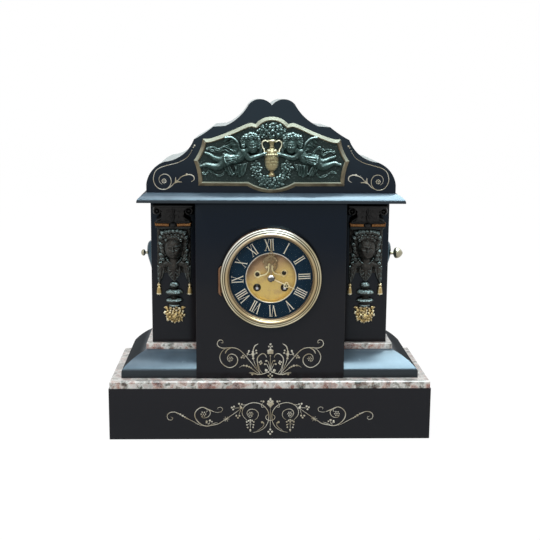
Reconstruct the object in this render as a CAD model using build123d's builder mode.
# A slate and marble mantel clock with a visible escapement, bronze mounts and a relief plaque.
# Millimetres, +Z up, the dial faces -Y, and the origin is on the ground under the case's centre.
import os
from math import atan2, cos, degrees, hypot, pi, radians, sin, sqrt

from build123d import *

os.makedirs("parts", exist_ok=True)

# Base
base_width = 460
base_depth = 189
plinth_height = 75
plinth_wall = 14
board_thickness = 12
slab_height = 10.5
slab_inset = 1.5
slab_well_margin = 20
slab_well_depth = 120
edge_wear = 0.8

# Mouldings around the foot of the body
cushion_inset = 16.5
cushion_front = 76
cushion_fillet = 11.5
cushion_rise = 22.5
cushion_run = 33.5
cushion_bulge = 2.5
step_height = 8.5
step_out = 8.5
step_front = 42

# Body
wall = 12
body_inset = 58
wing_front = 34
panel_share = 0.6163
panel_front = 78
body_top = 339.5
back_recess = 6

# Cornice
cornice_out = 14
cornice_front = 92
cornice_fillet = 3.5
cornice_rise = 9.5
cornice_run = 12.3
cornice_bulge = 1

# Pediment
pediment_out = 1.5
pediment_height = 128.5
pediment_front_y = 76
pediment_plate = 14

# Plaque on the pediment
plaque_half_width = 107.5
plaque_height = 104.4
plaque_lift = 0.3
plaque_border = 5.7
plaque_border_thickness = 4.2
plaque_bead_inset = 1.5
plaque_bead_rise = 1.3
plaque_ground = 2
figure_head = 10.5
urn_radius = 13
urn_height = 52
urn_handle_radius = 1.3
blossom = 6.5

# Mask mounts on the wings
mount_top = 332
capital_margin = 4.5
capital_height = 25
mount_plate_half = 24
mount_plate_thickness = 4
mask_width = 28
mask_height = 40
mask_z = 277
band_z = 304
band_height = 4
baluster_radius = 12.5
baluster_height = 30
baluster_z = 189
drop_half_width = 17.5
drop_height = 28
tassel_radius = 3
tassel_height = 15
tassel_z = 200

# Side handles
handle_z = 256
bracket_top = 276
bracket_bottom = 224
bracket_width = 22
bracket_reach = 13
knob_radius = 10
knob_reach = 29

# Dial and front door
dial_z = 233
bezel_radius = 71
bezel_front = 92
bezel_back = 80.3
sight_radius = 58.8
glass_radius = 62
glass_front = 88.4
glass_thickness = 2
panel_hole = 62.5
seat_thickness = 2
seat_tube = 61.8
seat_tube_wall = 1.6
seat_tube_back = 62
chapter_radius = 60
chapter_front = 81.2
chapter_thickness = 2
numeral_outer = 54.6
numeral_inner = 38
numeral_relief = 0.3
stroke_wide = 2.1
stroke_thin = 0.9
serif = 0.7
centre_radius = 35.5
centre_rim = 1.6
centre_floor = 74
centre_sheet = 1
door_knuckle = 2.2
door_pin = 1
door_pin_out = 1.2
door_knuckle_length = 11

# Movement
plate_radius = 47
plate_thickness = 3
front_plate_front = 60
plate_gap = 34
pillar_radius = 3
pillar_circle = 42
arbor = 1
fine_arbor = 0.65
centre_arbor = 1.2
pivot = 0.5
running = 0.05
clear = 0.3
winding_x = 19.5
winding_drop = 15
winding_arbor = 2
winding_pivot = 1.8
winding_square = 3.2
winding_reach = 80.5
escape_rise = 17
anchor_rise = 31

# Train: modules and numbers of teeth
great_module = 0.45
great_teeth = 84
intermediate_pinion_teeth = 12
intermediate_module = 0.45
intermediate_teeth = 72
centre_pinion_teeth = 10
centre_module = 0.36
centre_teeth = 84
third_pinion_teeth = 7
third_module = 0.34
third_teeth = 84
escape_pinion_teeth = 7
escape_teeth = 30
escape_radius = 10.5
cannon_module = 0.4
cannon_teeth = 12
minute_teeth = 36
hour_teeth = 40
minute_pinion_teeth = 10
wheel_thickness = 1.4
barrel_radius = 16
barrel_depth = 16

# Hands
minute_hand_length = 54
hour_hand_length = 37.6
hour_hand_angle = 115
hand_thickness = 0.6
hand_width = 2.2
trefoil = 2.6

# Pendulum, bell and rear door
pendulum_length = 172
bob_radius = 22
bob_thickness = 9
rod_width = 3
rod_thickness = 1.6
bell_radius = 36
bell_depth = 22
bell_wall = 1.5
bell_mouth = 4
rear_radius = 62.5
rear_flange = 66
rear_door_radius = 61

# A cut runs this far past what it cuts.
overrun = 1

slab_top = plinth_height + slab_height
cushion_top = slab_top + cushion_fillet + cushion_rise
step_top = cushion_top + step_height
case_back = base_depth / 2
cushion_half_width = base_width / 2 - cushion_inset
body_half_width = base_width / 2 - body_inset
panel_half_width = panel_share * body_half_width
wing_width = body_half_width - panel_half_width
mount_x = body_half_width - wing_width / 2
capital_width = wing_width - 2 * capital_margin
step_half_width = body_half_width + step_out
cornice_half_width = body_half_width + cornice_out
pediment_half_width = body_half_width + pediment_out
inner_half_width = body_half_width - wall
slab_well_half = inner_half_width - slab_well_margin
wing_back = wing_front - wall
back_panel_rear = case_back - back_recess
cornice_top = body_top + cornice_fillet + cornice_rise
plaque_base = cornice_top + plaque_lift
front_plate_back = front_plate_front - plate_thickness
back_plate_front = front_plate_back - plate_gap
back_plate_back = back_plate_front - plate_thickness
anchor_z = dial_z + anchor_rise


def facing(y, x=0, z=0):
    """A plane that looks towards the viewer, with X to the right and Z up."""
    return Plane(origin=(x, y, z), x_dir=(1, 0, 0), z_dir=(0, -1, 0))


def block(x0, x1, y0, y1, z0, z1, mode=Mode.ADD):
    """A box between its six faces."""
    with BuildSketch(Plane.XY.offset(z0)) as footprint:
        with Locations(((x0 + x1) / 2, (y0 + y1) / 2)):
            Rectangle(x1 - x0, y1 - y0)
    extrude(footprint.sketch, amount=z1 - z0, mode=mode)


def turned(points, x=0, z=dial_z, mode=Mode.ADD):
    """A body of revolution on the arbor at x, z, from an outline of (radius, y)."""
    with BuildSketch(Plane(origin=(x, 0, z), x_dir=(1, 0, 0), z_dir=(0, 0, 1))) as section:
        with BuildLine():
            Polyline(*points, close=True)
        make_face()
    revolve(section.sketch, axis=Axis((x, 0, z), (0, 1, 0)), mode=mode)


def disc(radius, y_front, y_back, x=0, z=dial_z, mode=Mode.ADD):
    """A round disc or arbor between two depths, measured towards the viewer."""
    with BuildSketch(facing(-y_back, x, z)) as face:
        Circle(radius)
    extrude(face.sketch, amount=y_front - y_back, mode=mode)


def keep(piece, name):
    """Label a finished piece and write it."""
    piece.part.label = name
    export_step(piece.part, "parts/" + name + ".step")


# Plinth: four slate plates around a bottom board
with BuildPart() as base_board:
    block(
        plinth_wall - base_width / 2,
        base_width / 2 - plinth_wall,
        plinth_wall - base_depth / 2,
        base_depth / 2 - plinth_wall,
        0,
        board_thickness,
    )
keep(base_board, "base_board")

with BuildPart() as plinth_front:
    block(-base_width / 2, base_width / 2, -base_depth / 2, plinth_wall - base_depth / 2, 0, plinth_height)
    chamfer(plinth_front.edges().filter_by(Axis.Z).group_by(Axis.Y)[0], edge_wear)
keep(plinth_front, "plinth_front")

with BuildPart() as plinth_back:
    block(-base_width / 2, base_width / 2, base_depth / 2 - plinth_wall, base_depth / 2, 0, plinth_height)
    chamfer(plinth_back.edges().filter_by(Axis.Z).group_by(Axis.Y)[-1], edge_wear)
keep(plinth_back, "plinth_back")

with BuildPart() as plinth_ends:
    for side in (-1, 1):
        outer = side * base_width / 2
        inner = side * (base_width / 2 - plinth_wall)
        block(
            min(outer, inner),
            max(outer, inner),
            plinth_wall - base_depth / 2,
            base_depth / 2 - plinth_wall,
            0,
            plinth_height,
        )
keep(plinth_ends, "plinth_ends")

with BuildPart() as marble_base:
    slab_half = base_width / 2 - slab_inset
    block(-slab_half, slab_half, slab_inset - base_depth / 2, base_depth / 2, plinth_height, slab_top)
    chamfer(marble_base.faces().sort_by(Axis.Z)[-1].edges(), slab_inset)
    block(
        -slab_well_half,
        slab_well_half,
        -wing_front - wall,
        slab_well_depth - wing_front - wall,
        plinth_height - overrun,
        slab_top + overrun,
        mode=Mode.SUBTRACT,
    )
keep(marble_base, "marble_base")


def moulding_side(half_width, base, fillet_height, rise, run, bulge):
    """The cross-section that a moulding shows from the front, closed under a flat top."""
    lip = base + fillet_height
    with BuildSketch(Plane.XZ.offset(-case_back)) as section:
        with BuildLine():
            Line((0, base), (half_width, base))
            Line((half_width, base), (half_width, lip))
            SagittaArc((half_width, lip), (half_width - run, lip + rise), -bulge)
            Polyline((half_width - run, lip + rise), (0, lip + rise), (0, base))
        make_face()
        mirror(about=Plane.YZ)
    return section.sketch


def moulding_front(half_width, front, base, fillet_height, rise, run, bulge):
    """The cross-section that the same moulding shows from the side."""
    lip = base + fillet_height
    with BuildSketch(Plane.YZ.offset(-half_width)) as section:
        with BuildLine():
            Line((case_back, base), (-front, base))
            Line((-front, base), (-front, lip))
            SagittaArc((-front, lip), (run - front, lip + rise), bulge)
            Polyline((run - front, lip + rise), (case_back, lip + rise), (case_back, base))
        make_face()
    return section.sketch


def mitred(half_width, front, base, fillet_height, rise, run, bulge):
    """A block with a moulded front and sides, mitred at its front corners."""
    extrude(
        moulding_side(half_width, base, fillet_height, rise, run, bulge),
        amount=case_back + front,
    )
    extrude(
        moulding_front(half_width, front, base, fillet_height, rise, run, bulge),
        amount=2 * half_width,
        mode=Mode.INTERSECT,
    )


# Cushion moulding and marble step: each runs along a wing and back along the side
for side, word in ((-1, "left"), (1, "right")):
    far = side * (cushion_half_width + overrun)
    with BuildPart() as cushion:
        mitred(
            cushion_half_width,
            cushion_front,
            slab_top,
            cushion_fillet,
            cushion_rise,
            cushion_run,
            cushion_bulge,
        )
        block(
            min(side * panel_half_width, far),
            max(side * panel_half_width, far),
            -cushion_front - overrun,
            case_back + overrun,
            slab_top - overrun,
            cushion_top + overrun,
            mode=Mode.INTERSECT,
        )
        block(
            min(0, side * inner_half_width),
            max(0, side * inner_half_width),
            -wing_back,
            case_back + overrun,
            slab_top - overrun,
            cushion_top + overrun,
            mode=Mode.SUBTRACT,
        )
    keep(cushion, "cushion_" + word)

with BuildPart() as marble_steps:
    for side in (-1, 1):
        inner = side * panel_half_width
        outer = side * step_half_width
        block(min(inner, outer), max(inner, outer), -step_front, case_back, cushion_top, step_top)
    chamfer(marble_steps.faces().sort_by(Axis.Z)[-2:].edges(), edge_wear)
    block(
        -inner_half_width,
        inner_half_width,
        -wing_back,
        case_back + overrun,
        cushion_top - overrun,
        step_top + overrun,
        mode=Mode.SUBTRACT,
    )
keep(marble_steps, "marble_steps")

# Body plates
with BuildPart() as wing_panels:
    for side in (-1, 1):
        inner = side * panel_half_width
        outer = side * body_half_width
        block(min(inner, outer), max(inner, outer), -wing_front, -wing_back, step_top, body_top)
keep(wing_panels, "wing_panels")

with BuildPart() as side_panels:
    for side in (-1, 1):
        inner = side * inner_half_width
        outer = side * body_half_width
        block(min(inner, outer), max(inner, outer), -wing_back, case_back, step_top, body_top)
keep(side_panels, "side_panels")

with BuildPart() as back_panel:
    block(
        -inner_half_width,
        inner_half_width,
        back_panel_rear - wall,
        back_panel_rear,
        slab_top,
        body_top,
    )
    disc(rear_radius, -back_panel_rear + wall + overrun, -back_panel_rear - overrun, mode=Mode.SUBTRACT)
keep(back_panel, "back_panel")

with BuildPart() as centre_panel:
    block(-panel_half_width, panel_half_width, -panel_front, wall - panel_front, slab_top, body_top)
    chamfer(centre_panel.edges().filter_by(Axis.Z).group_by(Axis.Y)[0], edge_wear)
    disc(panel_hole, panel_front + overrun, panel_front - wall - overrun, mode=Mode.SUBTRACT)
keep(centre_panel, "centre_panel")

with BuildPart() as centre_cheeks:
    for side in (-1, 1):
        inner = side * (panel_half_width - wall)
        outer = side * panel_half_width
        block(min(inner, outer), max(inner, outer), wall - panel_front, -wing_back, slab_top, body_top)
keep(centre_cheeks, "centre_cheeks")

with BuildPart() as cornice:
    mitred(
        cornice_half_width,
        cornice_front,
        body_top,
        cornice_fillet,
        cornice_rise,
        cornice_run,
        cornice_bulge,
    )
keep(cornice, "cornice")


# Pediment: a lobed front plate and a hollow body behind it
lobe_notch_share = (0, 0.934)
lobe_top_share = (0.092, 1)
lobe_end_share = (0.182, 0.9455)
valley_share = (0.265, 0.8055)
valley_end_share = (0.369, 0.7165)
shoulder_share = (0.464, 0.7075)
slope_share = (0.545, 0.628)
corner_share = (0.618, 0.572)
hollow_share = (0.697, 0.42)
hollow_end_share = (0.853, 0.332)
ovolo_share = (0.957, 0.23)
ovolo_end_share = (1, 0.09)


def pediment_point(share):
    """A point of the pediment's outline from its shares of half width and height."""
    return (share[0] * pediment_half_width, cornice_top + share[1] * pediment_height)


def pediment_outline(y):
    """The whole front outline on the plane at depth y."""
    with BuildSketch(facing(-y)) as outline:
        with BuildLine():
            ThreePointArc(
                pediment_point(lobe_notch_share),
                pediment_point(lobe_top_share),
                pediment_point(lobe_end_share),
            )
            ThreePointArc(
                pediment_point(lobe_end_share),
                pediment_point(valley_share),
                pediment_point(valley_end_share),
            )
            Line(pediment_point(valley_end_share), pediment_point(shoulder_share))
            ThreePointArc(
                pediment_point(shoulder_share),
                pediment_point(slope_share),
                pediment_point(corner_share),
            )
            ThreePointArc(
                pediment_point(corner_share),
                pediment_point(hollow_share),
                pediment_point(hollow_end_share),
            )
            ThreePointArc(
                pediment_point(hollow_end_share),
                pediment_point(ovolo_share),
                pediment_point(ovolo_end_share),
            )
            Polyline(
                pediment_point(ovolo_end_share),
                pediment_point((1, 0)),
                pediment_point((0, 0)),
                pediment_point(lobe_notch_share),
            )
        make_face()
        mirror(about=Plane.YZ)
    return outline.sketch


with BuildPart() as pediment_front:
    extrude(pediment_outline(pediment_front_y - pediment_plate), amount=pediment_plate)
keep(pediment_front, "pediment_front")

# The hollow rises in three steps under the outline: shares of half width and of height.
hollow_step_shares = ((0.9, 0.2), (0.6, 0.45), (0.35, 0.62))
with BuildPart() as pediment_body:
    extrude(pediment_outline(-case_back), amount=case_back + pediment_front_y - pediment_plate)
    for width_share, height_share in hollow_step_shares:
        block(
            -width_share * pediment_half_width,
            width_share * pediment_half_width,
            pediment_plate - pediment_front_y - overrun,
            case_back - wall,
            cornice_top + wall,
            cornice_top + height_share * pediment_height,
            mode=Mode.SUBTRACT,
        )
keep(pediment_body, "pediment_body")


# Plaque: a shaped gilt border around a bronze ground, as shares of half width and of height
apex_share = (0, 1)
apex_side_share = (0.112, 0.979)
crown_cusp_share = (0.207, 0.906)
crest_share = (0.3, 0.912)
brow_share = (0.54, 0.805)
brow_end_share = (0.77, 0.718)
plaque_corner_share = (0.883, 0.708)
side_hollow_share = (0.926, 0.553)
side_cusp_share = (1, 0.424)
skirt_share = (0.956, 0.28)
foot_corner_share = (0.942, 0.091)
bowl_corner_share = (0.31, 0.088)
bowl_share = (0.158, 0.023)
bowl_foot_share = (0, 0)


def plaque_point(share, inset=0):
    """A point of the plaque's outline, drawn in by an inset, from its shares of half width and height."""
    return (
        share[0] * (plaque_half_width - inset),
        plaque_base + inset + share[1] * (plaque_height - 2 * inset),
    )


def plaque_outline(y, inset=0):
    """The plaque's outline on the plane at depth y, drawn in by an inset."""
    apex, apex_side, crown_cusp, crest, brow, brow_end, corner = [
        plaque_point(share, inset)
        for share in (
            apex_share,
            apex_side_share,
            crown_cusp_share,
            crest_share,
            brow_share,
            brow_end_share,
            plaque_corner_share,
        )
    ]
    side_hollow, side_cusp, skirt, foot_corner, bowl_corner, bowl, bowl_foot = [
        plaque_point(share, inset)
        for share in (
            side_hollow_share,
            side_cusp_share,
            skirt_share,
            foot_corner_share,
            bowl_corner_share,
            bowl_share,
            bowl_foot_share,
        )
    ]
    with BuildSketch(facing(-y)) as outline:
        with BuildLine():
            ThreePointArc(apex, apex_side, crown_cusp)
            Spline(crown_cusp, crest, brow, brow_end, corner)
            ThreePointArc(corner, side_hollow, side_cusp)
            ThreePointArc(side_cusp, skirt, foot_corner)
            Line(foot_corner, bowl_corner)
            ThreePointArc(bowl_corner, bowl, bowl_foot)
            Line(bowl_foot, apex)
        make_face()
        mirror(about=Plane.YZ)
    return outline.sketch


with BuildPart() as plaque_frame:
    extrude(plaque_outline(pediment_front_y), amount=plaque_border_thickness)
    extrude(
        plaque_outline(pediment_front_y, plaque_bead_inset),
        amount=plaque_border_thickness + plaque_bead_rise,
    )
    extrude(
        plaque_outline(pediment_front_y, plaque_border),
        amount=plaque_border_thickness + plaque_bead_rise,
        mode=Mode.SUBTRACT,
    )
keep(plaque_frame, "plaque_frame")

with BuildPart() as plaque_panel:
    extrude(plaque_outline(pediment_front_y, plaque_border), amount=plaque_ground)
keep(plaque_panel, "plaque_panel")

# Winged children in relief: joints of the body as shares of the plaque's half width and height,
# with each radius as a share of the head's.
ground_y = pediment_front_y + plaque_ground
child_head_share = (0.272, 0.66)
child_limb_shares = (
    ((0.38, 0.545, 0.62), (0.25, 0.53, 0.42), (0.13, 0.505, 0.34)),
    ((0.38, 0.545, 0.72), (0.45, 0.51, 0.78), (0.52, 0.47, 0.8)),
    ((0.52, 0.47, 0.74), (0.65, 0.335, 0.6), (0.76, 0.34, 0.42), (0.85, 0.365, 0.3)),
    ((0.52, 0.48, 0.7), (0.68, 0.46, 0.5), (0.83, 0.51, 0.32)),
)
wing_shares = ((0.4, 0.56), (0.43, 0.63), (0.6, 0.7), (0.76, 0.65), (0.8, 0.58), (0.6, 0.57))
drape_shares = ((0.45, 0.42), (0.5, 0.3), (0.62, 0.24), (0.86, 0.24), (0.72, 0.33), (0.56, 0.42))
relief_depth_share = 0.75
wing_thickness = 3
drape_thickness = 4


def ball(x, y, z, radius):
    """A ball at a place."""
    with Locations((x, y, z)):
        Sphere(radius)


def limb(start, end, start_radius, end_radius):
    """A round tapering stretch between two places."""
    along = Vector(*end) - Vector(*start)
    middle = (Vector(*end) + Vector(*start)) / 2
    with Locations(Plane(origin=middle, z_dir=along)):
        if start_radius == end_radius:
            Cylinder(start_radius, along.length)
        else:
            Cone(start_radius, end_radius, along.length)


def above_ground():
    """Cut away what reaches behind the plaque's ground."""
    block(
        -base_width,
        base_width,
        -ground_y,
        base_depth,
        -base_width,
        2 * base_width,
        mode=Mode.SUBTRACT,
    )


# Urn: radii and heights as shares of its greatest radius and of its height
urn_profile_shares = (
    (0, 0),
    (0.5, 0),
    (0.5, 0.06),
    (0.2, 0.14),
    (0.3, 0.25),
    (0.85, 0.45),
    (1, 0.62),
    (0.9, 0.72),
    (0.45, 0.8),
    (0.4, 0.88),
    (0.7, 0.97),
    (0.7, 1),
    (0, 1),
)
urn_foot_share = 0.2
urn_handle_shares = ((0.9, 0.66), (1.15, 0.78), (1.1, 0.9), (0.6, 0.92))
urn_z = plaque_base + urn_foot_share * plaque_height
with BuildPart() as plaque_urn:
    with BuildSketch(Plane(origin=(0, -ground_y, urn_z), x_dir=(1, 0, 0), z_dir=(0, -1, 0))) as urn_half:
        with BuildLine():
            Polyline(*[(r * urn_radius, h * urn_height) for r, h in urn_profile_shares], close=True)
        make_face()
    revolve(urn_half.sketch, axis=Axis((0, -ground_y, urn_z), (0, 0, 1)))
    for side in (-1, 1):
        grips = [(side * r * urn_radius, -ground_y, urn_z + h * urn_height) for r, h in urn_handle_shares]
        for start, end in zip(grips, grips[1:]):
            limb(start, end, urn_handle_radius, urn_handle_radius)
        for place in grips:
            ball(*place, urn_handle_radius)
    above_ground()
keep(plaque_urn, "plaque_urn")

children = []
for side, word in ((-1, "left"), (1, "right")):
    with BuildPart() as putto:
        head_x, head_z = plaque_point(child_head_share)
        ball(side * head_x, -ground_y - relief_depth_share * figure_head / 2, head_z, figure_head)
        for chain in child_limb_shares:
            places = []
            for across, up, girth in chain:
                x, z = plaque_point((across, up))
                radius = girth * figure_head
                places.append(((side * x, -ground_y - relief_depth_share * radius, z), radius))
            for place, radius in places:
                ball(*place, radius)
            for (start, first), (end, second) in zip(places, places[1:]):
                limb(start, end, first, second)
        for shares, thickness in ((wing_shares, wing_thickness), (drape_shares, drape_thickness)):
            corners = [plaque_point(share) for share in shares]
            with BuildSketch(facing(-ground_y)) as flat_shape:
                with BuildLine():
                    Polyline(*[(side * x, z) for x, z in corners], close=True)
                make_face()
            extrude(flat_shape.sketch, amount=thickness)
        above_ground()
        add(plaque_urn.part, mode=Mode.SUBTRACT)
    keep(putto, "putto_" + word)
    children.append(putto.part)

# Flowers: places as shares of the plaque, and sizes as shares of a blossom
flower_shares = (
    (0, 0.87, 1.1),
    (-0.12, 0.83, 0.9),
    (0.12, 0.83, 0.9),
    (-0.2, 0.75, 0.8),
    (0.2, 0.75, 0.8),
    (-0.24, 0.36, 0.9),
    (0.24, 0.36, 0.9),
    (-0.18, 0.25, 1.1),
    (0.18, 0.25, 1.1),
    (-0.09, 0.16, 1.1),
    (0.09, 0.16, 1.1),
    (0, 0.14, 0.9),
)
with BuildPart() as plaque_flowers:
    for across, up, size in flower_shares:
        x, z = plaque_point((0, up))
        ball(across * plaque_half_width, -ground_y, z, size * blossom)
    above_ground()
    add(plaque_urn.part, mode=Mode.SUBTRACT)
    for child in children:
        add(child, mode=Mode.SUBTRACT)
keep(plaque_flowers, "plaque_flowers")


# Mask mounts: a cast bracket, mask, apron and baluster on a back plate, and their gilded parts
capital_side_shares = ((1, 0), (0.93, 0.24), (0.81, 0.52), (0.84, 1))
capital_depth = 22
hair_radius = 16.5
hair_height = 10
hair_z = 288
lock_radius = 4.5
lock_spread = 16
lock_drop = 28
collar_radius = 14
collar_height = 10
collar_z = 244
apron_shares = ((1, 0), (1, 0.42), (0.55, 0.66), (0, 1), (-0.55, 0.66), (-1, 0.42), (-1, 0))
apron_height = 30
apron_depth = 12
mask_out = 14
baluster_out = 9
baluster_shares = ((0.4, 1), (0.4, 0.82), (1, 0.78), (1, 0.66), (0.5, 0.55), (1, 0.42), (1, 0.2), (0.5, 0))
drop_out = 6
drop_ball_shares = (
    (0, 0.5, 0.5),
    (0.55, 0.66, 0.42),
    (-0.55, 0.66, 0.42),
    (0.42, 0.34, 0.38),
    (-0.42, 0.34, 0.38),
    (0, 0.8, 0.32),
    (0, 0.2, 0.32),
)
tassel_spread = 23
cord_radius = 0.9
cord_share = 0.48


def standing(profile, x, y, mode=Mode.ADD):
    """A body of revolution about the upright line at x, y, from an outline of (radius, z)."""
    with BuildSketch(Plane(origin=(x, y, 0), x_dir=(1, 0, 0), z_dir=(0, -1, 0))) as half:
        with BuildLine():
            Polyline(*profile, close=True)
        make_face()
    revolve(half.sketch, axis=Axis((x, y, 0), (0, 0, 1)), mode=mode)


def behind_cut(y):
    """Cut away what reaches behind a depth."""
    block(-base_width, base_width, y, base_depth, 0, 2 * base_width, mode=Mode.SUBTRACT)


for side, word in ((-1, "left"), (1, "right")):
    middle = side * mount_x
    with BuildPart() as mount:
        block(
            middle - mount_plate_half,
            middle + mount_plate_half,
            -wing_front - mount_plate_thickness,
            -wing_front,
            collar_z - capital_height,
            mount_top - capital_height,
        )
        capital_right = [
            (middle + share * capital_width / 2, mount_top - drop * capital_height)
            for share, drop in capital_side_shares
        ]
        capital_left = [(2 * middle - x, z) for x, z in reversed(capital_right)]
        with BuildSketch(facing(-wing_front)) as capital:
            with BuildLine():
                Polyline(*capital_right, *capital_left, close=True)
            make_face()
        extrude(capital.sketch, amount=capital_depth)
        with BuildSketch(facing(-wing_front - mask_out, middle, mask_z)) as egg:
            Ellipse(mask_width / 2, mask_height / 2)
            Rectangle(mask_width, mask_height + overrun, align=(Align.MAX, Align.CENTER), mode=Mode.SUBTRACT)
        revolve(egg.sketch, axis=Axis((middle, -wing_front - mask_out, 0), (0, 0, 1)))
        with Locations((middle, -wing_front - mask_out, hair_z + hair_height / 2)):
            Cylinder(hair_radius, hair_height)
        for lock in (-1, 1):
            top = (middle + lock * lock_spread, -wing_front - mask_out / 2, hair_z)
            foot = (middle + lock * lock_spread, -wing_front - mask_out / 2, hair_z - lock_drop)
            ball(*top, lock_radius)
            limb(top, foot, lock_radius, lock_radius)
            ball(*foot, lock_radius)
        with Locations((middle, -wing_front - mask_out, collar_z + collar_height / 2)):
            Cylinder(collar_radius, collar_height)
        with BuildSketch(facing(-wing_front)) as apron:
            with BuildLine():
                Polyline(
                    *[
                        (middle + a * mount_plate_half, collar_z + collar_height - b * apron_height)
                        for a, b in apron_shares
                    ],
                    close=True,
                )
            make_face()
        extrude(apron.sketch, amount=apron_depth)
        turning = [(r * baluster_radius, baluster_z + h * baluster_height) for r, h in baluster_shares]
        turning.append((0, baluster_z))
        turning.insert(0, (0, collar_z))
        turning.insert(1, (baluster_shares[0][0] * baluster_radius, collar_z))
        standing(turning, middle, -wing_front - baluster_out)
        behind_cut(-wing_front)
    keep(mount, "mask_mount_" + word)

    with BuildPart() as gilding:
        block(
            middle - mount_plate_half,
            middle + mount_plate_half,
            -wing_front - capital_depth,
            -wing_front - mount_plate_thickness,
            band_z - band_height / 2,
            band_z + band_height / 2,
        )
        drop_low = baluster_z - clear - drop_height
        for across, up, size in drop_ball_shares:
            ball(
                middle + across * drop_half_width,
                -wing_front - drop_out,
                drop_low + up * drop_height,
                size * drop_half_width,
            )
        tassel_y = -wing_front - mount_plate_thickness - cord_radius - running
        tassel_top = tassel_z + tassel_height
        cord_top = collar_z + collar_height - cord_share * apron_height
        for hang in (-1, 1):
            tassel_x = middle + hang * tassel_spread
            limb((tassel_x, tassel_y, tassel_z), (tassel_x, tassel_y, tassel_top), tassel_radius, cord_radius)
            limb((tassel_x, tassel_y, tassel_top), (tassel_x, tassel_y, cord_top), cord_radius, cord_radius)
        behind_cut(-wing_front)
    keep(gilding, "mount_gilding_" + word)

# Side handles: a bulging bracket and a mushroom knob on each side
bracket_shoulder_share = 0.2
bracket_waist_share = 0.55
bracket_arc_shares = (0.75, 0.2)
bracket_hollow_share = 0.35
knob_shares = ((0, 0), (0.45, 0), (0.42, 0.3), (0.9, 0.4), (1, 0.55), (0.95, 0.8), (0.5, 1), (0, 1))
with BuildPart() as side_handles:
    for side in (-1, 1):
        reach = body_half_width + bracket_reach
        bulge_top = bracket_top - bracket_shoulder_share * (bracket_top - bracket_bottom)
        bulge_low = bracket_top - bracket_waist_share * (bracket_top - bracket_bottom)
        arc_out, arc_down = [share * bracket_reach for share in bracket_arc_shares]
        hollow_out = bracket_hollow_share * bracket_reach
        with BuildSketch(facing(bracket_width / 2)) as bracket:
            with BuildLine():
                ThreePointArc(
                    (side * body_half_width, bracket_top),
                    (side * (body_half_width + arc_out), bracket_top - arc_down),
                    (side * reach, bulge_top),
                )
                Line((side * reach, bulge_top), (side * reach, bulge_low))
                ThreePointArc(
                    (side * reach, bulge_low),
                    (side * (body_half_width + hollow_out), bulge_low - bracket_reach),
                    (side * body_half_width, bracket_bottom),
                )
                Line((side * body_half_width, bracket_bottom), (side * body_half_width, bracket_top))
            make_face()
        extrude(bracket.sketch, amount=bracket_width)
        knob_length = knob_reach - bracket_reach
        with BuildSketch(Plane(origin=(0, 0, handle_z), x_dir=(1, 0, 0), z_dir=(0, -1, 0))) as knob:
            with BuildLine():
                Polyline(
                    *[(side * (reach + along * knob_length), r * knob_radius) for r, along in knob_shares],
                    close=True,
                )
            make_face()
        revolve(knob.sketch, axis=Axis((0, 0, handle_z), (1, 0, 0)))
keep(side_handles, "side_handles")

# Dial seat: a flange on the panel, a tube through it, and the fixed half of the door's hinge
hinge_x = -bezel_radius - door_pin_out
hinge_y = -bezel_back - door_knuckle + clear
hinge_drop_share = 1.9
hinge_knuckles = 3
hinge_low = dial_z - hinge_drop_share * door_knuckle_length
hinge_lug_wall = 1.5


def upright_barrel(radius, x, y, low, high, mode=Mode.ADD):
    """A round bar along Z between two heights."""
    with BuildSketch(Plane.XY.offset(low)) as ring:
        with Locations((x, y)):
            Circle(radius)
    extrude(ring.sketch, amount=high - low, mode=mode)


hinge_high = hinge_low + hinge_knuckles * door_knuckle_length
outer_knuckles = (
    (hinge_low, hinge_low + door_knuckle_length),
    (hinge_high - door_knuckle_length, hinge_high),
)
with BuildPart() as dial_seat:
    turned(
        [
            (seat_tube - seat_tube_wall, -panel_front - seat_thickness),
            (bezel_radius - clear, -panel_front - seat_thickness),
            (bezel_radius - clear, -panel_front),
            (seat_tube, -panel_front),
            (seat_tube, -seat_tube_back),
            (seat_tube - seat_tube_wall, -seat_tube_back),
        ]
    )
    for low, high in outer_knuckles:
        upright_barrel(door_knuckle, hinge_x, hinge_y, low, high)
        block(
            hinge_x - hinge_lug_wall,
            hinge_x + hinge_lug_wall,
            hinge_y,
            -panel_front,
            low,
            high,
        )
        block(
            hinge_x - hinge_lug_wall,
            clear - glass_radius - seat_thickness,
            -panel_front - seat_thickness,
            -panel_front,
            low,
            high,
        )
    upright_barrel(door_pin, hinge_x, hinge_y, hinge_low, hinge_high)
keep(dial_seat, "dial_seat")

# Dial: chapter ring with gilt numerals around a recessed brass plate
with BuildPart() as chapter_ring:
    turned(
        [
            (centre_radius, -chapter_front),
            (chapter_radius, -chapter_front),
            (chapter_radius, chapter_thickness - chapter_front),
            (centre_radius, chapter_thickness - chapter_front),
        ]
    )
keep(chapter_ring, "chapter_ring")

numeral_height = numeral_outer - numeral_inner
numeral_words = ("I", "II", "III", "IIII", "V", "VI", "VII", "VIII", "IX", "X", "XI", "XII")
letter_gap = 1.1
letter_width_shares = {"I": 1, "V": 3, "X": 3.2}
full_turn = 360


def stroke(foot_x, head_x, width):
    """One stroke of a letter, from the inner to the outer circle, with serifs."""
    half = width / 2
    tip = numeral_height - serif
    Polygon(
        (foot_x - half - serif, 0),
        (foot_x + half + serif, 0),
        (foot_x + half, serif),
        (head_x + half, tip),
        (head_x + half + serif, numeral_height),
        (head_x - half - serif, numeral_height),
        (head_x - half, tip),
        (foot_x - half, serif),
        align=None,
    )


def letter_width(letter):
    """How far a letter spreads across the chapter ring."""
    return letter_width_shares[letter] * stroke_wide


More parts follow.
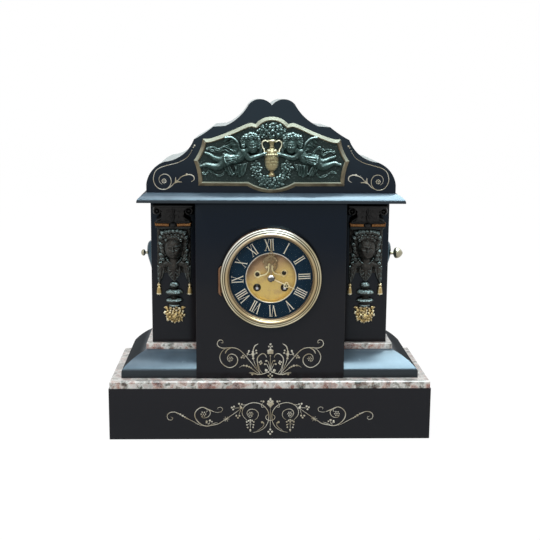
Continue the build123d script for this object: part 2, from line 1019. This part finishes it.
def write_numeral(word):
    """Lay the letters of one numeral side by side, centred, feet towards the dial's centre."""
    total = sum(letter_width(letter) for letter in word) + letter_gap * (len(word) - 1)
    at = -total / 2
    for letter in word:
        width = letter_width(letter)
        if letter == "I":
            stroke(at + width / 2, at + width / 2, stroke_wide)
        if letter == "V":
            stroke(at + width / 2, at + stroke_wide / 2, stroke_wide)
            stroke(at + width / 2, at + width - stroke_thin / 2, stroke_thin)
        if letter == "X":
            stroke(at + width - stroke_wide / 2, at + stroke_wide / 2, stroke_wide)
            stroke(at + stroke_thin / 2, at + width - stroke_thin / 2, stroke_thin)
        at += width + letter_gap


with BuildPart() as hour_numerals:
    for hour, word in enumerate(numeral_words, start=1):
        turn = radians(full_turn * hour / len(numeral_words))
        foot_x = numeral_inner * sin(turn)
        foot_z = dial_z + numeral_inner * cos(turn)
        upward = Plane(
            origin=(foot_x, -chapter_front, foot_z),
            x_dir=(cos(turn), 0, -sin(turn)),
            z_dir=(0, -1, 0),
        )
        with BuildSketch(upward) as numeral:
            write_numeral(word)
        extrude(numeral.sketch, amount=numeral_relief)
keep(hour_numerals, "hour_numerals")

pan_back = chapter_front - chapter_thickness
pan_wall = centre_radius - centre_rim
foot_circle = 28
foot_radius = 1.5
foot_angles = (20, 160, 270)
winding_z = dial_z - winding_drop
hour_pipe = 3.2
minute_cannon = 2
key_hole = 3.6
escape_z = dial_z + escape_rise
with BuildPart() as centre_plate:
    turned(
        [
            (pan_wall, -chapter_front - centre_rim / 2),
            (centre_radius, -chapter_front - centre_rim / 2),
            (centre_radius, -pan_back),
            (chapter_radius, -pan_back),
            (chapter_radius, centre_sheet - pan_back),
            (pan_wall + centre_sheet, centre_sheet - pan_back),
            (pan_wall + centre_sheet, centre_sheet - centre_floor),
            (0, centre_sheet - centre_floor),
            (0, -centre_floor),
            (pan_wall, -centre_floor),
        ]
    )
    for angle in foot_angles:
        disc(
            foot_radius,
            centre_floor - centre_sheet,
            front_plate_front,
            foot_circle * cos(radians(angle)),
            dial_z + foot_circle * sin(radians(angle)),
        )
    sheet_holes = (
        (hour_pipe + clear, 0, dial_z),
        (key_hole, -winding_x, winding_z),
        (key_hole, winding_x, winding_z),
        (arbor + clear, 0, escape_z),
        (arbor + clear, 0, anchor_z),
    )
    for radius, x, z in sheet_holes:
        disc(
            radius,
            centre_floor + overrun,
            centre_floor - centre_sheet - overrun,
            x,
            z,
            mode=Mode.SUBTRACT,
        )
keep(centre_plate, "centre_plate")

# Bridge over the escapement: an arch on two feet, with the front pivot holes
bridge_front = 80.2
bridge_thickness = 1
bridge_half = 19
bridge_foot_rise = 5
bridge_foot = 2.2
bridge_bar = 3.4
bridge_arch_shares = (0.4, 0.55)
bridge_boss = 2.3
with BuildPart() as escapement_bridge:
    bridge_back = bridge_front - bridge_thickness
    arch_x = bridge_arch_shares[0] * bridge_half
    arch_z = bridge_arch_shares[1] * escape_rise
    with BuildSketch(facing(-bridge_back, 0, dial_z)) as arch:
        for side in (-1, 1):
            with Locations((side * bridge_half, bridge_foot_rise)):
                Circle(bridge_foot)
            with BuildLine():
                ThreePointArc(
                    (side * bridge_half, bridge_foot_rise),
                    (side * arch_x, arch_z),
                    (0, escape_rise),
                )
                offset(amount=bridge_bar / 2)
            make_face()
        with Locations((0, escape_rise), (0, anchor_rise)):
            Circle(bridge_boss)
        with Locations((0, (escape_rise + anchor_rise) / 2)):
            Rectangle(bridge_bar, anchor_rise - escape_rise)
    extrude(arch.sketch, amount=bridge_thickness)
    for side in (-1, 1):
        disc(
            bridge_foot,
            bridge_back,
            centre_floor,
            side * bridge_half,
            dial_z + bridge_foot_rise,
        )
    for z in (escape_z, anchor_z):
        disc(pivot + running, bridge_front + overrun, bridge_back - overrun, 0, z, mode=Mode.SUBTRACT)
keep(escapement_bridge, "escapement_bridge")


# Places of the train's arbors, as seen from the front
def meeting(first, first_reach, second, second_reach, hand):
    """The point at two given distances from two arbors, to the left or right of their line."""
    across = second[0] - first[0]
    up = second[1] - first[1]
    apart = hypot(across, up)
    along = (first_reach**2 - second_reach**2 + apart**2) / (2 * apart)
    off = hand * sqrt(first_reach**2 - along**2)
    return (
        first[0] + (along * across - off * up) / apart,
        first[1] + (along * up + off * across) / apart,
    )


def centres(module, wheel, pinion):
    """The distance between the arbors of a wheel and its pinion."""
    return module * (wheel + pinion) / 2


centre_at = (0, dial_z)
escape_at = (0, escape_z)
going_at = (winding_x, winding_z)
strike_at = (-winding_x, winding_z)
third_at = meeting(
    centre_at,
    centres(centre_module, centre_teeth, third_pinion_teeth),
    escape_at,
    centres(third_module, third_teeth, escape_pinion_teeth),
    1,
)
intermediate_at = meeting(
    centre_at,
    centres(intermediate_module, intermediate_teeth, centre_pinion_teeth),
    going_at,
    centres(great_module, great_teeth, intermediate_pinion_teeth),
    1,
)
motion_distance = centres(cannon_module, cannon_teeth, minute_teeth)
motion_at = (0, dial_z - motion_distance)
minute_pinion_module = 2 * motion_distance / (hour_teeth + minute_pinion_teeth)
hammer_x = -40.5
hammer_drop = 12
hammer_at = (hammer_x, dial_z - hammer_drop)

# Tooth shapes: heights in modules, half widths as shares of the pitch
wheel_tooth_shares = (0.8, 1.3, 0.22, 0.08)
leaf_shares = (0.55, 1.5, 0.15, 0.1)


def gear(teeth, module, y_front, y_back, at, phase, shares):
    """A toothed wheel or pinion; phase is the direction of one tooth, in radians."""
    tip_share, root_share, foot_share, top_share = shares
    pitch_radius = module * teeth / 2
    root = pitch_radius - root_share * module
    tip = pitch_radius + tip_share * module
    pitch = 2 * pi / teeth
    outline = []
    for tooth in range(teeth):
        middle = phase + tooth * pitch
        for radius, half in ((root, -foot_share), (tip, -top_share), (tip, top_share), (root, foot_share)):
            angle = middle + half * pitch
            outline.append((radius * cos(angle), radius * sin(angle)))
    with BuildSketch(facing(-y_back, at[0], at[1])) as face:
        with BuildLine():
            Polyline(*outline, close=True)
        make_face()
    extrude(face.sketch, amount=y_front - y_back)


def meshed(driver_at, driver_teeth, driver_phase, driven_at, driven_teeth):
    """The phase that puts a gap of the driven wheel on a tooth of its driver."""
    line = atan2(driven_at[1] - driver_at[1], driven_at[0] - driver_at[0])
    driver_part = driver_teeth * (line - driver_phase)
    return line + pi - (pi - driver_part) / driven_teeth


def depth(behind):
    """A place between the plates, measured back from the front plate, as distance to the viewer."""
    return front_plate_back - behind


# Plates, pillars, straps and the ring at the back
stud_length = 10.2
pillar_angles = (0, 90, 180, 270)
with BuildPart() as front_plate:
    disc(plate_radius, front_plate_front, front_plate_back)
    holes = (
        (centre_at, centre_arbor),
        (going_at, winding_pivot),
        (strike_at, winding_pivot),
        (third_at, pivot),
        (intermediate_at, pivot),
        (escape_at, fine_arbor),
        ((0, anchor_z), arbor),
        (hammer_at, pivot),
    )
    for at, radius in holes:
        disc(
            radius + running,
            front_plate_front + overrun,
            front_plate_back - overrun,
            at[0],
            at[1],
            mode=Mode.SUBTRACT,
        )
    disc(arbor, front_plate_front + stud_length, front_plate_front, motion_at[0], motion_at[1])
keep(front_plate, "front_plate")

with BuildPart() as back_plate:
    disc(plate_radius, back_plate_front, back_plate_back)
    holes = (
        (centre_at, pivot),
        (going_at, arbor),
        (strike_at, arbor),
        (third_at, pivot),
        (intermediate_at, pivot),
        (escape_at, pivot),
        ((0, anchor_z), arbor),
        (hammer_at, arbor),
    )
    for at, radius in holes:
        disc(
            radius + running,
            back_plate_front + overrun,
            back_plate_back - overrun,
            at[0],
            at[1],
            mode=Mode.SUBTRACT,
        )
keep(back_plate, "back_plate")

with BuildPart() as plate_pillars:
    for angle in pillar_angles:
        disc(
            pillar_radius,
            front_plate_back,
            back_plate_front,
            pillar_circle * cos(radians(angle)),
            dial_z + pillar_circle * sin(radians(angle)),
        )
keep(plate_pillars, "plate_pillars")

strap_width = 10
strap_thickness = 2
strap_lap = 8
strap_reach = seat_tube - seat_tube_wall - clear - running
ring_tube_front = back_panel_rear - wall
with BuildPart() as fixing_straps:
    for side in (-1, 1):
        outer = side * strap_reach
        inner = side * (strap_reach - strap_thickness)
        block(
            min(outer, inner),
            max(outer, inner),
            -seat_tube_back - strap_lap,
            ring_tube_front + strap_lap,
            dial_z - strap_width / 2,
            dial_z + strap_width / 2,
        )
keep(fixing_straps, "fixing_straps")

rear_flange_thickness = 1.5
rear_inner = 55
rear_knuckle = 1.6
rear_pin = 0.8
rear_hinge_out = 2.5
rear_hinge_x = rear_door_radius + rear_hinge_out
rear_ring_rear = back_panel_rear + rear_flange_thickness
rear_hinge_y = rear_ring_rear + rear_knuckle + clear
rear_knuckle_length = 9
rear_low = dial_z - hinge_knuckles * rear_knuckle_length / 2
rear_high = dial_z + hinge_knuckles * rear_knuckle_length / 2
with BuildPart() as rear_ring:
    turned(
        [
            (seat_tube - seat_tube_wall, ring_tube_front),
            (seat_tube, ring_tube_front),
            (seat_tube, back_panel_rear),
            (rear_flange, back_panel_rear),
            (rear_flange, rear_ring_rear),
            (rear_inner, rear_ring_rear),
            (rear_inner, back_panel_rear),
            (seat_tube - seat_tube_wall, back_panel_rear),
        ]
    )
    for low, high in (
        (rear_low, rear_low + rear_knuckle_length),
        (rear_high - rear_knuckle_length, rear_high),
    ):
        upright_barrel(rear_knuckle, rear_hinge_x, rear_hinge_y, low, high)
        block(
            rear_hinge_x - rear_knuckle,
            rear_hinge_x + rear_knuckle,
            back_panel_rear,
            rear_hinge_y,
            low,
            high,
        )
    upright_barrel(rear_pin, rear_hinge_x, rear_hinge_y, rear_low, rear_high)
keep(rear_ring, "rear_ring")

rear_sheet = 1.2
rear_knob = 3
rear_knob_height = 2
rear_knob_inset = 9
with BuildPart() as rear_door:
    door_front = rear_ring_rear + clear
    disc(rear_door_radius, -door_front, -door_front - rear_sheet)
    upright_barrel(
        rear_knuckle,
        rear_hinge_x,
        rear_hinge_y,
        rear_low + rear_knuckle_length + clear,
        rear_high - rear_knuckle_length - clear,
    )
    block(
        rear_door_radius - rear_knob,
        rear_hinge_x,
        door_front,
        door_front + rear_sheet,
        rear_low + rear_knuckle_length + clear,
        rear_high - rear_knuckle_length - clear,
    )
    upright_barrel(
        rear_pin + running,
        rear_hinge_x,
        rear_hinge_y,
        rear_low,
        rear_high,
        mode=Mode.SUBTRACT,
    )
    disc(
        rear_knob,
        -door_front - rear_sheet,
        -door_front - rear_sheet - rear_knob_height,
        rear_knob_inset - rear_door_radius,
        dial_z,
    )
keep(rear_door, "rear_door")

# Bezel: a beaded brass ring with a rebate for the glass, as shares of its width and height
bezel_outline_shares = (
    (1, 0),
    (1, 0.44),
    (0.95, 0.62),
    (0.83, 0.72),
    (0.73, 0.68),
    (0.68, 0.72),
    (0.67, 0.84),
    (0.58, 0.96),
    (0.45, 1),
    (0.31, 0.95),
    (0.24, 0.84),
    (0.22, 0.77),
)
lip = 0.6
knuckle_room = 0.7
with BuildPart() as bezel:
    bezel_width = bezel_radius - sight_radius
    bezel_height = bezel_front - bezel_back
    ring_points = [
        (sight_radius + across * bezel_width, -bezel_back - up * bezel_height)
        for across, up in bezel_outline_shares
    ]
    ring_points += [
        (sight_radius, -glass_front - lip),
        (sight_radius, -glass_front),
        (glass_radius, -glass_front),
        (glass_radius, -bezel_back),
    ]
    turned(ring_points)
    for low, high in outer_knuckles:
        upright_barrel(
            door_knuckle + knuckle_room,
            hinge_x,
            hinge_y,
            low - clear,
            high + clear,
            mode=Mode.SUBTRACT,
        )
    middle_low = outer_knuckles[0][1] + clear
    middle_high = outer_knuckles[1][0] - clear
    upright_barrel(door_knuckle, hinge_x, hinge_y, middle_low, middle_high)
    block(
        hinge_x,
        hinge_x + bezel_width / 2,
        hinge_y - hinge_lug_wall,
        hinge_y + hinge_lug_wall,
        middle_low,
        middle_high,
    )
    upright_barrel(door_pin + running, hinge_x, hinge_y, hinge_low, hinge_high, mode=Mode.SUBTRACT)
keep(bezel, "bezel")

with BuildPart() as bezel_glass:
    disc(glass_radius - clear, glass_front, glass_front - glass_thickness)
keep(bezel_glass, "bezel_glass")

sight_depth = 4.6
split_width = 1
with BuildPart() as sight_ring:
    sight_front = glass_front - glass_thickness
    turned(
        [
            (sight_radius, -sight_front),
            (glass_radius - clear, -sight_front),
            (glass_radius - clear, sight_depth - sight_front),
            (sight_radius + centre_rim, sight_depth - sight_front),
        ]
    )
    block(
        -split_width / 2,
        split_width / 2,
        -sight_front - overrun,
        sight_depth - sight_front + overrun,
        dial_z,
        dial_z + bezel_radius,
        mode=Mode.SUBTRACT,
    )
keep(sight_ring, "sight_ring")

# Motion work and hands
cannon_front = 64.5
cannon_back = 61.5
minute_wheel_front = 63.9
hour_wheel_front = 68.4
minute_pinion_front = 69.5
hour_hand_front = 82.9
minute_hand_front = 84.6
centre_wheel_behind = 2
third_pinion_behind = 1.2
third_pinion_length = 3
intermediate_wheel_behind = 6.5
centre_pinion_behind = 5.5
pinion_length = 3.4
third_wheel_behind = 9.5
escape_pinion_behind = 8.5
barrel_behind = 13
intermediate_pinion_behind = 12
end_shake = 0.4
between_front = front_plate_back - end_shake
between_back = back_plate_front + end_shake

with BuildPart() as centre_wheel:
    disc(centre_arbor, front_plate_front + end_shake, between_back)
    disc(pivot, between_back, back_plate_back)
    disc(minute_cannon, minute_hand_front + running, front_plate_front + end_shake)
    gear(
        cannon_teeth,
        cannon_module,
        cannon_front,
        cannon_back,
        centre_at,
        0,
        leaf_shares,
    )
    gear(
        centre_teeth,
        centre_module,
        depth(centre_wheel_behind),
        depth(centre_wheel_behind + wheel_thickness),
        centre_at,
        0,
        wheel_tooth_shares,
    )
    gear(
        centre_pinion_teeth,
        intermediate_module,
        depth(centre_pinion_behind),
        depth(centre_pinion_behind + pinion_length),
        centre_at,
        0,
        leaf_shares,
    )
keep(centre_wheel, "centre_wheel")

minute_wheel_phase = meshed(centre_at, cannon_teeth, 0, motion_at, minute_teeth)
with BuildPart() as minute_wheel:
    gear(
        minute_teeth,
        cannon_module,
        minute_wheel_front,
        minute_wheel_front - wheel_thickness,
        motion_at,
        minute_wheel_phase,
        wheel_tooth_shares,
    )
    gear(
        minute_pinion_teeth,
        minute_pinion_module,
        minute_pinion_front,
        minute_wheel_front,
        motion_at,
        0,
        leaf_shares,
    )
    disc(
        arbor + running,
        minute_pinion_front + overrun,
        front_plate_front,
        motion_at[0],
        motion_at[1],
        mode=Mode.SUBTRACT,
    )
keep(minute_wheel, "minute_wheel")

hour_wheel_phase = meshed(motion_at, minute_pinion_teeth, 0, centre_at, hour_teeth)
with BuildPart() as hour_wheel:
    gear(
        hour_teeth,
        minute_pinion_module,
        hour_wheel_front,
        hour_wheel_front - wheel_thickness,
        centre_at,
        hour_wheel_phase,
        wheel_tooth_shares,
    )
    disc(hour_pipe, hour_hand_front + running, hour_wheel_front)
    disc(
        minute_cannon + running,
        minute_hand_front,
        front_plate_front,
        mode=Mode.SUBTRACT,
    )
keep(hour_wheel, "hour_wheel")

hand_hub_wall = 1.2
hand_neck_share = 0.25
hand_head_share = 0.33
hand_tip_share = 0.12
trefoil_place_share = 0.62
trefoil_spread_share = 0.7
trefoil_hole_share = 0.55
nut_radius = 2.8
nut_height = 1.3


def hand(length, clockwise, bore, y_front, name):
    """A pierced hand on its hub, pointing clockwise degrees from XII."""
    turn = radians(clockwise)
    plane = Plane(
        origin=(0, hand_thickness - y_front, dial_z),
        x_dir=(cos(turn), 0, -sin(turn)),
        z_dir=(0, -1, 0),
    )
    hub = bore + hand_hub_wall
    knot = trefoil_place_share * length
    leaf = trefoil_spread_share * trefoil
    neck, head, tip = [share * hand_width for share in (hand_neck_share, hand_head_share, hand_tip_share)]
    with BuildSketch(plane) as shape:
        Circle(hub)
        Polygon(
            (-hand_width / 2, 0),
            (hand_width / 2, 0),
            (neck, knot),
            (head, knot + trefoil),
            (tip, length),
            (-tip, length),
            (-head, knot + trefoil),
            (-neck, knot),
            align=None,
        )
        with Locations((leaf, knot), (-leaf, knot), (0, knot + trefoil)):
            Circle(trefoil)
        with Locations((leaf, knot), (-leaf, knot), (0, knot + trefoil)):
            Circle(trefoil_hole_share * trefoil, mode=Mode.SUBTRACT)
        Circle(bore, mode=Mode.SUBTRACT)
    with BuildPart() as pointer:
        extrude(shape.sketch, amount=hand_thickness)
        if name == "minute_hand":
            disc(nut_radius, y_front + nut_height, y_front + running)
    keep(pointer, name)


hand(hour_hand_length, hour_hand_angle, hour_pipe + running, hour_hand_front, "hour_hand")
hand(minute_hand_length, 0, minute_cannon + running, minute_hand_front, "minute_hand")

# Going train
intermediate_phase = meshed(centre_at, centre_pinion_teeth, 0, intermediate_at, intermediate_teeth)
with BuildPart() as intermediate_wheel:
    disc(arbor, between_front, between_back, *intermediate_at)
    disc(pivot, front_plate_front, back_plate_back, *intermediate_at)
    gear(
        intermediate_teeth,
        intermediate_module,
        depth(intermediate_wheel_behind),
        depth(intermediate_wheel_behind + wheel_thickness),
        intermediate_at,
        intermediate_phase,
        wheel_tooth_shares,
    )
    gear(
        intermediate_pinion_teeth,
        great_module,
        depth(intermediate_pinion_behind),
        depth(intermediate_pinion_behind + pinion_length),
        intermediate_at,
        0,
        leaf_shares,
    )
keep(intermediate_wheel, "intermediate_wheel")

third_phase = meshed(centre_at, centre_teeth, 0, third_at, third_pinion_teeth)
with BuildPart() as third_wheel:
    disc(fine_arbor, between_front, between_back, *third_at)
    disc(pivot, front_plate_front, back_plate_back, *third_at)
    gear(
        third_pinion_teeth,
        centre_module,
        depth(third_pinion_behind),
        depth(third_pinion_behind + third_pinion_length),
        third_at,
        third_phase,
        leaf_shares,
    )
    gear(
        third_teeth,
        third_module,
        depth(third_wheel_behind),
        depth(third_wheel_behind + wheel_thickness),
        third_at,
        0,
        wheel_tooth_shares,
    )
keep(third_wheel, "third_wheel")

escape_phase = meshed(third_at, third_teeth, 0, escape_at, escape_pinion_teeth)
escape_front = 76.7
escape_thickness = 0.8
escape_tooth_share = 0.82
escape_rim_share = 0.72
escape_hub = 2
escape_spoke_angles = (0, 45, 90, 135)
saw_tip_share = 0.8
saw_foot_share = 0.9
with BuildPart() as escape_wheel:
    disc(fine_arbor, escape_front, between_back, *escape_at)
    disc(pivot, bridge_front, back_plate_back, *escape_at)
    gear(
        escape_pinion_teeth,
        third_module,
        depth(escape_pinion_behind),
        depth(escape_pinion_behind + pinion_length),
        escape_at,
        escape_phase,
        leaf_shares,
    )
    tooth_turn = 2 * pi / escape_teeth
    root = escape_tooth_share * escape_radius
    rim = escape_rim_share * escape_radius
    saw = []
    for tooth in range(escape_teeth):
        for share, radius in ((0, root), (saw_tip_share, escape_radius), (saw_foot_share, root)):
            angle = (tooth + share) * tooth_turn
            saw.append((radius * cos(angle), radius * sin(angle)))
    with BuildSketch(facing(escape_thickness - escape_front, *escape_at)) as crown:
        with BuildLine():
            Polyline(*saw, close=True)
        make_face()
        Circle(rim, mode=Mode.SUBTRACT)
        for spoke in escape_spoke_angles:
            Rectangle(2 * rim + escape_thickness, escape_thickness, rotation=spoke)
        Circle(escape_hub)
    extrude(crown.sketch, amount=escape_thickness)
keep(escape_wheel, "escape_wheel")

# Pallets on their arbor, with the crutch that reaches the pendulum
pallet_front = 78.2
pallet_thickness = 1.2
pallet_x = 9.8
pallet_rise = 6.4
pallet_pin = 0.5
anchor_hub = 2.1
anchor_arm = 1.6
crutch_back = 15
crutch_thickness = 1.5
crutch_length = 26
crutch_half = 1.2
fork_height = 3
fork_back = 7.5
rod_room = 0.3
rod_front = 10.8
with BuildPart() as anchor:
    disc(arbor, pallet_front, crutch_back, 0, anchor_z)
    disc(pivot, bridge_front, pallet_front, 0, anchor_z)
    with BuildSketch(facing(pallet_thickness - pallet_front, 0, anchor_z)) as pallets:
        Circle(anchor_hub)
        for side in (-1, 1):
            arm_x = side * pallet_x
            arm_z = escape_rise + pallet_rise - anchor_rise
            with Locations((arm_x / 2, arm_z / 2)):
                SlotCenterToCenter(hypot(arm_x, arm_z), anchor_arm, rotation=degrees(atan2(arm_z, arm_x)))
    extrude(pallets.sketch, amount=pallet_thickness)
    for side in (-1, 1):
        disc(
            pallet_pin,
            pallet_front,
            escape_front - escape_thickness,
            side * pallet_x,
            escape_z + pallet_rise,
        )
    block(
        -crutch_half,
        crutch_half,
        -crutch_back - crutch_thickness,
        -crutch_back,
        anchor_z - crutch_length,
        anchor_z,
    )
    fork_inner = rod_width / 2 + rod_room
    block(
        -fork_inner - anchor_arm,
        fork_inner + anchor_arm,
        -crutch_back - crutch_thickness,
        -crutch_back,
        anchor_z - crutch_length - fork_height,
        anchor_z - crutch_length,
    )
    for side in (-1, 1):
        outer = side * (fork_inner + anchor_arm)
        block(
            min(side * fork_inner, outer),
            max(side * fork_inner, outer),
            -crutch_back,
            -fork_back,
            anchor_z - crutch_length - fork_height,
            anchor_z - crutch_length,
        )
keep(anchor, "anchor")

# Suspension cock on the back plate, with the pin that the pendulum hangs from
cock_half = 5
cock_pad_top = 18
cock_low = 4
cock_mid = 6
cock_high = 14
cock_reach = 17
cock_wall = 3
pin_radius = 0.8
with BuildPart() as suspension_cock:
    block(
        -cock_half,
        cock_half,
        -back_plate_back,
        cock_wall - back_plate_back,
        anchor_z + cock_low,
        anchor_z + cock_pad_top,
    )
    block(
        -cock_half,
        cock_half,
        -back_plate_back,
        cock_reach - back_plate_back,
        anchor_z + cock_mid,
        anchor_z + cock_high,
    )
    block(
        -cock_half,
        cock_half,
        cock_reach - cock_wall - back_plate_back,
        cock_reach - back_plate_back,
        anchor_z - cock_low,
        anchor_z + cock_mid,
    )
    disc(
        pin_radius,
        rod_front + overrun,
        back_plate_back - cock_reach + cock_wall,
        0,
        anchor_z,
    )
keep(suspension_cock, "suspension_cock")

# Pendulum
eye_radius = 2.4
nut_half_height = 2
nut_drop = 4
rod_end = 3
bob_edge_share = 0.15
bob_face_share = 0.8
bob_z = anchor_z - pendulum_length
rod_back = rod_front - rod_thickness
with BuildPart() as pendulum_rod:
    disc(eye_radius, rod_front, rod_back, 0, anchor_z)
    block(
        -rod_width / 2,
        rod_width / 2,
        -rod_front,
        -rod_back,
        bob_z - bob_radius - nut_drop - nut_half_height - rod_end,
        anchor_z - eye_radius / 2,
    )
    disc(
        pin_radius + running,
        rod_front + overrun,
        rod_back - overrun,
        0,
        anchor_z,
        mode=Mode.SUBTRACT,
    )
keep(pendulum_rod, "pendulum_rod")

with BuildPart() as pendulum_bob:
    bob_middle = (rod_front + rod_back) / 2
    half = bob_thickness / 2
    turned(
        [
            (0, -bob_middle - half),
            (bob_face_share * bob_radius, -bob_middle - bob_face_share * half),
            (bob_radius, -bob_middle - bob_edge_share * half),
            (bob_radius, -bob_middle + bob_edge_share * half),
            (bob_face_share * bob_radius, -bob_middle + bob_face_share * half),
            (0, -bob_middle + half),
        ],
        0,
        bob_z,
    )
    nut_top = bob_z - bob_radius - nut_drop + nut_half_height
    upright_barrel(half, 0, -bob_middle, nut_top - 2 * nut_half_height, nut_top)
    block(
        -rod_width / 2 - running,
        rod_width / 2 + running,
        -rod_front - running,
        running - rod_back,
        bob_z - 2 * bob_radius,
        bob_z + 2 * bob_radius,
        mode=Mode.SUBTRACT,
    )
keep(pendulum_bob, "pendulum_bob")

# Barrels and winding arbors
great_phase = meshed(intermediate_at, intermediate_pinion_teeth, 0, going_at, great_teeth)
square_start = centre_floor
for name, at, phase in (
    ("going", going_at, great_phase),
    ("strike", strike_at, 0),
):
    with BuildPart() as barrel:
        gear(
            great_teeth,
            great_module,
            depth(barrel_behind),
            depth(barrel_behind + wheel_thickness),
            at,
            phase,
            wheel_tooth_shares,
        )
        disc(
            barrel_radius,
            depth(barrel_behind + wheel_thickness),
            depth(barrel_behind + wheel_thickness + barrel_depth),
            *at,
        )
        disc(
            winding_arbor + running,
            depth(barrel_behind) + overrun,
            depth(barrel_behind + wheel_thickness + barrel_depth) - overrun,
            *at,
            mode=Mode.SUBTRACT,
        )
    keep(barrel, name + "_barrel")

    with BuildPart() as winder:
        disc(winding_arbor, between_front, between_back, *at)
        disc(arbor, between_back, back_plate_back, *at)
        disc(winding_pivot, square_start, between_front, *at)
        with BuildSketch(facing(-square_start, *at)) as square:
            Rectangle(winding_square, winding_square)
        extrude(square.sketch, amount=winding_reach - square_start)
    keep(winder, name + "_arbor")

# Bell, its stand and the hammer
bell_outer_shares = ((1, 0), (0.99, 0.27), (0.92, 0.59), (0.75, 0.83), (0.42, 0.97), (0.15, 1), (0, 1))
with BuildPart() as bell:
    outer_bell = [(r * bell_radius, bell_mouth + h * bell_depth) for r, h in bell_outer_shares]
    inner_bell = [
        (r * (bell_radius - bell_wall), bell_mouth + h * (bell_depth - bell_wall))
        for r, h in reversed(bell_outer_shares)
    ]
    turned(outer_bell + inner_bell)
keep(bell, "bell")

stand_radius = 2.5
stand_circle = 43.3
stand_angle = -40
stand_bar = 6
stand_bar_thickness = 3
stand_gap = 3
bell_boss = 4
with BuildPart() as bell_stand:
    bell_crown = bell_mouth + bell_depth
    post_x = stand_circle * cos(radians(stand_angle))
    post_z = stand_circle * sin(radians(stand_angle))
    disc(
        stand_radius,
        back_plate_back,
        -bell_crown - stand_gap - stand_bar_thickness,
        post_x,
        dial_z + post_z,
    )
    with BuildSketch(facing(bell_crown + stand_gap + stand_bar_thickness, 0, dial_z)) as bar:
        with Locations((post_x / 2, post_z / 2)):
            SlotCenterToCenter(stand_circle, stand_bar, rotation=stand_angle)
    extrude(bar.sketch, amount=stand_bar_thickness)
    disc(bell_boss, -bell_crown, -bell_crown - stand_gap)
keep(bell_stand, "bell_stand")

hammer_arm_length = 22
hammer_back = 10
hammer_arm = 2
hammer_head_radius = 3.5
hammer_head_length = 8
hammer_head_shift = 0.5
with BuildPart() as hammer:
    disc(arbor, between_front, -hammer_back, *hammer_at)
    disc(pivot, front_plate_front, between_front, *hammer_at)
    block(
        hammer_at[0] - hammer_arm / 2,
        hammer_at[0] + hammer_arm / 2,
        hammer_back - hammer_arm,
        hammer_back,
        hammer_at[1],
        hammer_at[1] + hammer_arm_length,
    )
    with BuildSketch(
        Plane(
            origin=(
                hammer_at[0] - hammer_head_length / 2 - hammer_head_shift,
                hammer_back - hammer_arm / 2,
                hammer_at[1] + hammer_arm_length,
            ),
            x_dir=(0, 1, 0),
            z_dir=(1, 0, 0),
        )
    ) as head:
        Circle(hammer_head_radius)
    extrude(head.sketch, amount=hammer_head_length)
keep(hammer, "hammer")
